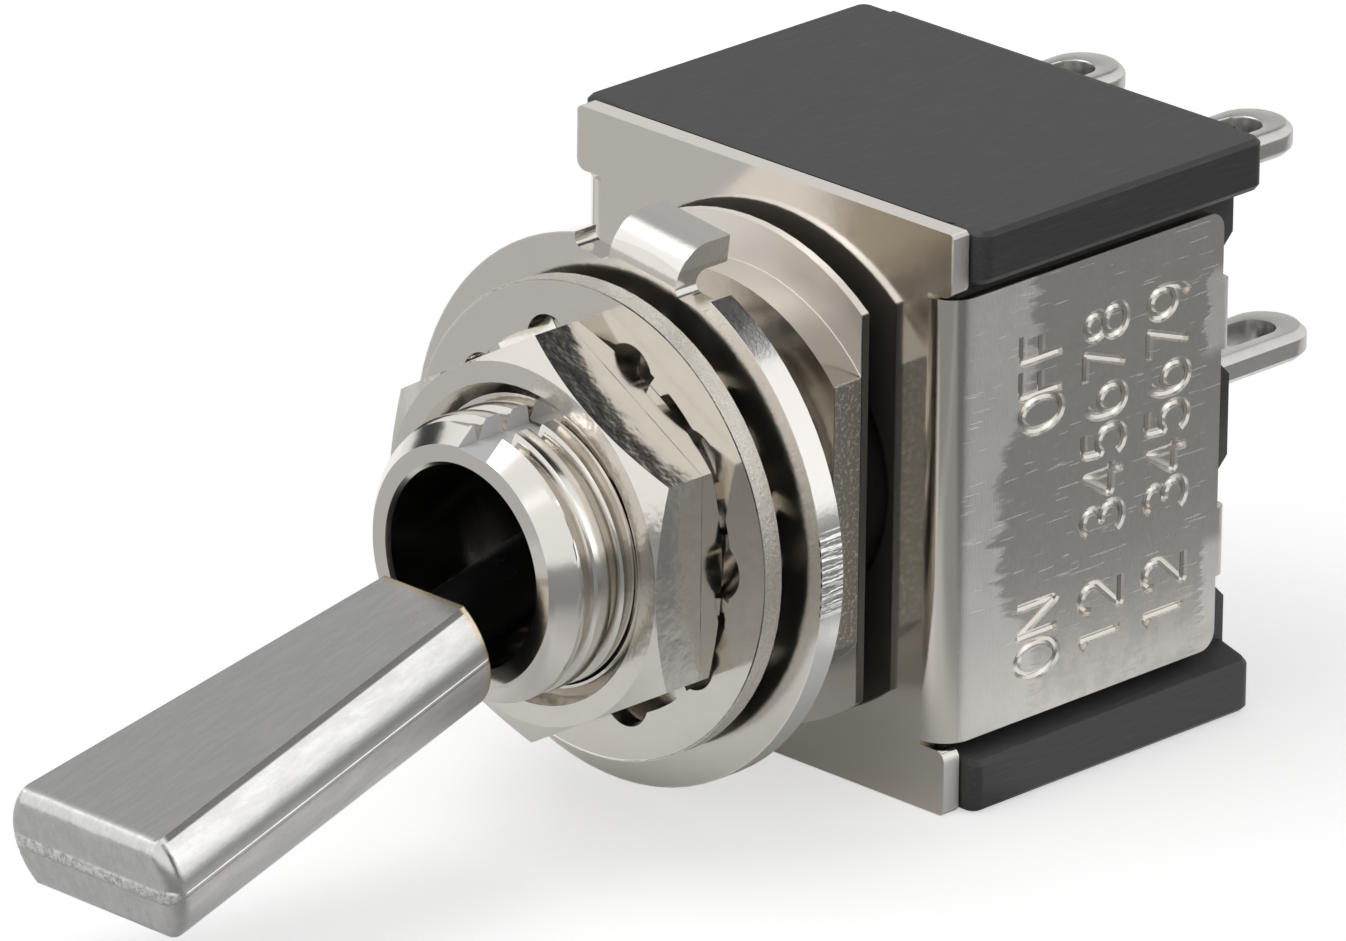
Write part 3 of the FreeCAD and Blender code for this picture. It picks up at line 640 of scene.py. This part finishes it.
def bushing_plate():
    material, shader, place = finish("bushing_plate", (0.74, 0.73, 0.71), 1.0, 0.26)
    x, y, z = axes(place)
    cast = y.rise(shoulder_front + 0.01, shoulder_front + 0.05)
    cast = cast * (1 - y.rise(collar_front - 0.02, collar_front + 0.02))
    at_flat = abs(x).rise(flat_side, flat_side + 0.02)
    flat = at_flat * cast
    speck = place.noise(11.0, 4.0, 0.65, seed=4.0)
    collar = y.rise(collar_front - 0.025, collar_front - 0.005)
    # The collar's face is satin and rougher, and is also painted paler, a painted highlight.
    satin_and_highlight = collar * (1 - abs(x).rise(flat_side - 0.02, flat_side + 0.01))
    # Painted shade: the collar's edge beside the flats is coloured dark.
    painted_edge_shade = collar * at_flat
    hub = y.rise(shoulder_front - 0.03, shoulder_front - 0.02) * (1 - collar) * (1 - flat)
    soft = place.noise(1.6, 3.0, 0.5, seed=9.0)
    # Painted shadow: the boss in the gap between the collar and the frame is coloured near black.
    painted_gap_shadow = y.rise(gap_front - 0.01, gap_front + 0.005)
    feed(shader, "Roughness", 0.10 + 0.12 * soft + flat * 0.16 + satin_and_highlight * 0.2 + painted_gap_shadow * 0.4)
    sleeve_tone = satin_and_highlight.blend((0.74, 0.71, 0.665, 1), (0.93, 0.90, 0.87, 1))
    # Painted shade: the hub's face is coloured darker towards +x.
    hub_painted_shade = x.rise(0.2, 3.2).blend((0.62, 0.585, 0.53, 1), (0.33, 0.305, 0.27, 1))
    sleeve_tone = hub.blend(sleeve_tone, hub_painted_shade)
    cast_tone = ((1 - speck.rise(0.50, 0.66)) * flat).blend(sleeve_tone, (0.36, 0.34, 0.31, 1))
    cast_tone = painted_edge_shade.blend(cast_tone, (0.16, 0.15, 0.14, 1))
    feed(shader, "Base Color", painted_gap_shadow.blend(cast_tone, (0.03, 0.028, 0.026, 1)))
    emboss(shader, speck * flat + soft * 0.15, 0.03)
    return material


sleeve_sizes = {
    "Mouth": bushing_mouth, "Rear": shoulder_front + 0.05, "Pitch": thread_pitch,
    "Crest Radius": crest_radius, "Depth": crest_radius - thread_root,
    "Crown": thread_crown, "Crest Share": thread_crest_share, "Runout": 0.5,
    "Mouth Chamfer": mouth_chamfer, "Plain Radius": bore_radius, "Lip": 0.08,
}
plating = bushing_plate()
barrel = grown("bushing_barrel", threaded_sleeve("threaded_sleeve", sleeve_sizes), sleeve_sizes, plating)
keyway = block("keyway", (-keyway_width / 2, bushing_mouth - 1, keyway_floor),
               (keyway_width / 2, shoulder_front - 0.02, crest_radius + 1), keyway_angle)
pin_slot = block("pin_slot", (-pin_slot_reach, pin_slot_front, -pin_slot_half_height),
                 (pin_slot_reach, 0, pin_slot_half_height))
cut(barrel, [keyway, pin_slot])
shoulder = keep("bushing_shoulder", merged_copy("bushing"))
beyond = 9
rear_half = block("rear_half", (-beyond, shoulder_front - 0.03, -beyond), (beyond, beyond, beyond))
cut(shoulder, [rear_half], "INTERSECT")
shoulder.data.materials.clear()
shoulder.data.materials.append(plating)
for piece in (barrel, shoulder):
    shade(piece, 30)
    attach(piece, "base")
    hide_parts("bushing")


# Nut, toothed washer and keyed ring: blanked or turned from steel and plated together.
# Their faces are satin, their blanked rims keep the marks of the die, and the nut has a thread.
washer_front = -5.2
washer_rear = -4.5
ring_front = -4.18
nut_rear = -5.6
washer_radius = 5.04
ring_radius = 5.82
die_mark_reach = 0.75


def hardware_plate():
    material, shader, place = finish("hardware_plate", (0.78, 0.75, 0.70), 1.0, 0.18)
    x, y, z = axes(place)
    radius = (x * x + z * z) ** 0.5
    soft = place.noise(1.2, 3.0, 0.55, seed=1.0)
    fine = place.noise(12.0, 4.0, 0.6, seed=6.0)
    on_washer = y.rise(washer_front, washer_front + 0.2) * (1 - y.rise(washer_rear - 0.05, washer_rear))
    on_ring = y.rise(ring_front, ring_front + 0.01)
    washer_rim = radius.rise(washer_radius, washer_radius + 0.05) * on_washer
    ring_rim = radius.rise(ring_radius, ring_radius + 0.04) * on_ring
    die_mark = ring_rim * (1 - abs(z - 0.2).rise(die_mark_reach, die_mark_reach + 0.2)) * x.rise(0.0, 0.1)
    on_nut = 1 - y.rise(nut_rear - 0.02, nut_rear)
    sheared = place.noise(5.0, 5.0, 0.75, stretch=(1.0, 1.6, 1.0), seed=13.0)
    dragged = place.noise(5.5, 3.0, 0.6, stretch=(1.0, 0.2, 1.0), seed=19.0)
    feed(shader, "Roughness", 0.09 + 0.08 * soft + 0.05 * fine + 0.12 * washer_rim)
    skin = soft.blend((0.80, 0.77, 0.72, 1), (0.74, 0.705, 0.65, 1))
    # The ring's rim is painted paler, a painted highlight on its rounded edge.
    feed(shader, "Base Color", ring_rim.blend(skin, (0.90, 0.875, 0.84, 1)))
    lines = (z * 4.4 + dragged * 0.9).maths("FRACT")
    ribs = lines.rise(0.1, 0.5) * (1 - lines.rise(0.6, 1.0))
    rough_rim = washer_rim * sheared * 2.4 + die_mark * ribs * 1.2
    emboss(shader, fine * 0.12 + soft * (0.35 + on_nut * 1.3) + rough_rim, 0.016)
    return material


def dress(node, material):
    """Give a CAD node its finish."""
    target = frame["nodes"][node]
    target.data.materials.clear()
    target.data.materials.append(material)


hardware = hardware_plate()
for node in ("mounting_nut", "lock_washer", "locating_ring"):
    dress(node, hardware)

nut_inset = 0.30
nut_low, nut_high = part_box("mounting_nut")
nut_sizes = {
    "Mouth": nut_low[1] / MM + nut_inset, "Rear": nut_high[1] / MM - nut_inset, "Pitch": thread_pitch,
    "Crest Radius": crest_radius + 0.05, "Depth": crest_radius - thread_root,
    "Crown": thread_crown, "Crest Share": thread_crest_share, "Runout": 0.01,
    "Mouth Chamfer": 0.0, "Plain Radius": crest_radius + 0.2, "Lip": 0.0,
}
phase_shift = (nut_sizes["Mouth"] - bushing_mouth) / thread_pitch
nut_thread = grown("nut_thread", threaded_sleeve("nut_thread_tree", nut_sizes), nut_sizes, hardware)
nut_thread.data.transform(Matrix.Rotation(math.tau * (phase_shift % 1.0), 4, "Y"))
shade(nut_thread, 30)
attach(nut_thread, "base")


# Lever: forged in brass from the paddle to the tail, trimmed at a seam and chrome plated satin.
# A raised flash line runs round it at mid thickness, torn on the tip's end face.
# Along the paddle's upper edges a thin dark line is painted in, a painted reflection for the rounded edges.
lever_tilt = math.radians(13.5)
pivot_y = -3.7
paddle_top = 1.149
paddle_base = -5.90
paddle_tip = -15.62


def lever_plate():
    material, shader, place = finish("lever_plate", (0.62, 0.62, 0.615), 1.0, 0.3)
    place = place.node("ShaderNodeVectorMath", {"operation": "SUBTRACT"}, {0: place, 1: (0, pivot_y, 0)})
    place = place.node("ShaderNodeVectorRotate", {"rotation_type": "X_AXIS"},
                       {"Vector": place, "Angle": -lever_tilt})
    x, y, z = axes(place)
    # Painted reflection: a thin dark line along the paddle's upper edges.
    painted_dark_edge = z.rise(paddle_top - 0.119, paddle_top - 0.089) * (1 - z.rise(paddle_top - 0.005, paddle_top))
    painted_dark_edge = painted_dark_edge * y.rise(paddle_tip + 0.35, paddle_tip + 0.50) * abs(x).rise(0.9, 1.0)
    mottle = place.noise(2.6, 5.0, 0.7, stretch=(1.0, 0.35, 1.0), seed=8.0)
    fine = place.noise(14.0, 4.0, 0.65, seed=12.0)
    streak = place.noise(5.0, 3.0, 0.6, stretch=(1.6, 0.22, 1.0), seed=27.0)
    # The neck behind the paddle is coloured near black.
    neck = y.rise(paddle_base, paddle_base + 0.06)
    rim = y.rise(paddle_base - 0.12, paddle_base - 0.03) * (1 - neck)
    tip = 1 - y.rise(paddle_tip, paddle_tip + 0.27)
    torn = place.noise(7.0, 5.0, 0.75, stretch=(1.3, 1.0, 1.0), seed=15.0)
    seam_middle = z + 0.16 * (torn - 0.5) * tip
    seam = 1 - abs(seam_middle).rise(0.02 + 0.05 * tip, 0.06 + 0.14 * tip)
    chip = seam * tip * torn.rise(0.42, 0.55)
    feed(shader, "Roughness", 0.16 + 0.08 * mottle + 0.07 * streak + 0.04 * fine + 0.2 * chip)
    cloudy = (mottle * 0.5 + streak * 0.5).rise(0.38, 0.62)
    skin = cloudy.blend((0.71, 0.705, 0.695, 1), (0.63, 0.625, 0.615, 1))
    skin = (painted_dark_edge * 0.85).blend(skin, (0.07, 0.065, 0.06, 1))
    skin = chip.blend(rim.blend(skin, (0.72, 0.60, 0.42, 1)), (0.95, 0.94, 0.92, 1))
    feed(shader, "Base Color", neck.blend(skin, (0.10, 0.10, 0.10, 1)))
    ridge = seam * (1 - neck) * (0.55 + (torn * 4.0 - 1.6) * tip)
    emboss(shader, mottle * 0.05 + streak * 0.05 + fine * 0.04 + ridge, 0.035)
    return material


coined("lever", 0.15, lever_plate(), "lever_body")


# Solder lugs: stamped from brass strip with an oblong eyelet, their edges coined round and tinned.
def tinned_lug():
    material, shader, place = finish("tinned_lug", (0.82, 0.81, 0.785), 1.0, 0.3)
    soft = place.noise(1.8, 4.0, 0.6, seed=21.0)
    feed(shader, "Roughness", 0.22 + 0.2 * soft)
    feed(shader, "Base Color", soft.blend((0.70, 0.69, 0.665, 1), (0.60, 0.59, 0.56, 1)))
    emboss(shader, soft, 0.01)
    return material


tin = tinned_lug()
for node in ("terminal_upper_left", "terminal_upper_right", "terminal_middle_left", "terminal_middle_right"):
    coined(node, 0.14, tin, "base")


# Inner pieces: hidden in the closed case, finished plainly in what they are made of.
def inner_finish(name, colour, metallic, roughness):
    """One plain colour, a little rougher in places."""
    material, shader, place = finish(name, colour, metallic, roughness)
    soft = place.noise(5.0, 3.0, 0.5, seed=2.0)
    feed(shader, "Roughness", (roughness - 0.05) + 0.1 * soft)
    return material


inner = {
    "steel_pin": inner_finish("steel_pin", (0.62, 0.62, 0.62), 1.0, 0.25),
    "inner_moulding": inner_finish("inner_moulding", (0.60, 0.56, 0.46), 0.0, 0.5),
    "plunger_brass": inner_finish("plunger_brass", (0.78, 0.60, 0.32), 1.0, 0.3),
    "spring_steel": inner_finish("spring_steel", (0.55, 0.55, 0.56), 1.0, 0.3),
    "rocker_copper": inner_finish("rocker_copper", (0.80, 0.47, 0.33), 1.0, 0.3),
    "contact_silver": inner_finish("contact_silver", (0.86, 0.86, 0.84), 1.0, 0.25),
}
slots = {entry["node"]: entry["material_slot"] for entry in frame["record"]["subparts"]}
for node, slot in slots.items():
    if slot in inner:
        dress(node, inner[slot])


# Springs: wound from square steel wire, each held between its bore's end and its plunger.
for side in ("left", "right"):
    spring = keep("spring_wire_" + side, merged_copy("spring_" + side))
    spring.data.materials.append(inner["spring_steel"])
    shade(spring, 40)
    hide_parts("spring_" + side)
    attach(spring, "lever_body")
    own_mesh(spring)
